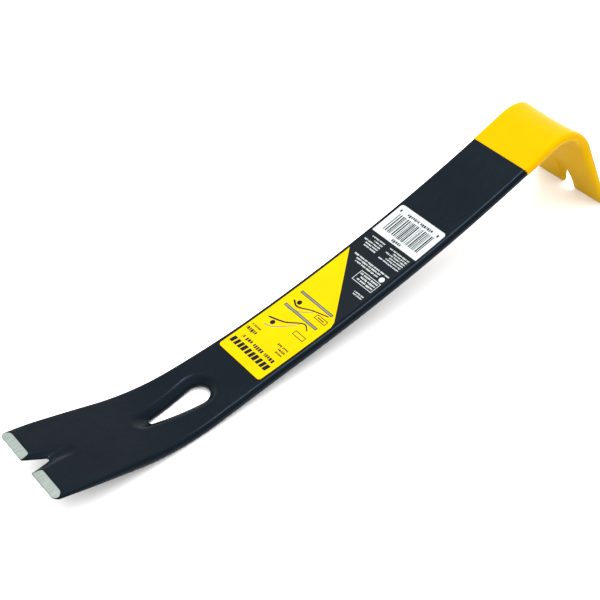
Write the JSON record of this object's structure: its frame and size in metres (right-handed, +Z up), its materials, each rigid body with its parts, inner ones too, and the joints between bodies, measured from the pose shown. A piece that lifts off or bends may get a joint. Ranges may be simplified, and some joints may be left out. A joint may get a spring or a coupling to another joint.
{
  "type": "pry bar",
  "caption": "Flat forged pry bar with a flared nail-pulling claw, a teardrop nail hole, a bowed shank and a square hook end.",
  "frame": {"origin": "middle of the object's box, at the level of the surface it lies on", "axes": "+X along the bar from the claw to the hook, +Y across the width, +Z up with the bar lying on the belly of the claw bend and the tip of the hook"},
  "size_m": [0.324, 0.0482, 0.054],
  "materials": {
    "forged_steel": "bare forged steel, ground flat at the claw tips",
    "black_paint": "semi-gloss blue-black paint over the forged surface",
    "yellow_dip": "thick glossy yellow dip coat",
    "printed_label": "satin self-adhesive film printed yellow, black and white"
  },
  "bodies": {
    "root": {"steel_bar": "forged_steel", "black_coat": "black_paint", "yellow_coat": "yellow_dip", "label": "printed_label"}
  },
  "joints": []
}
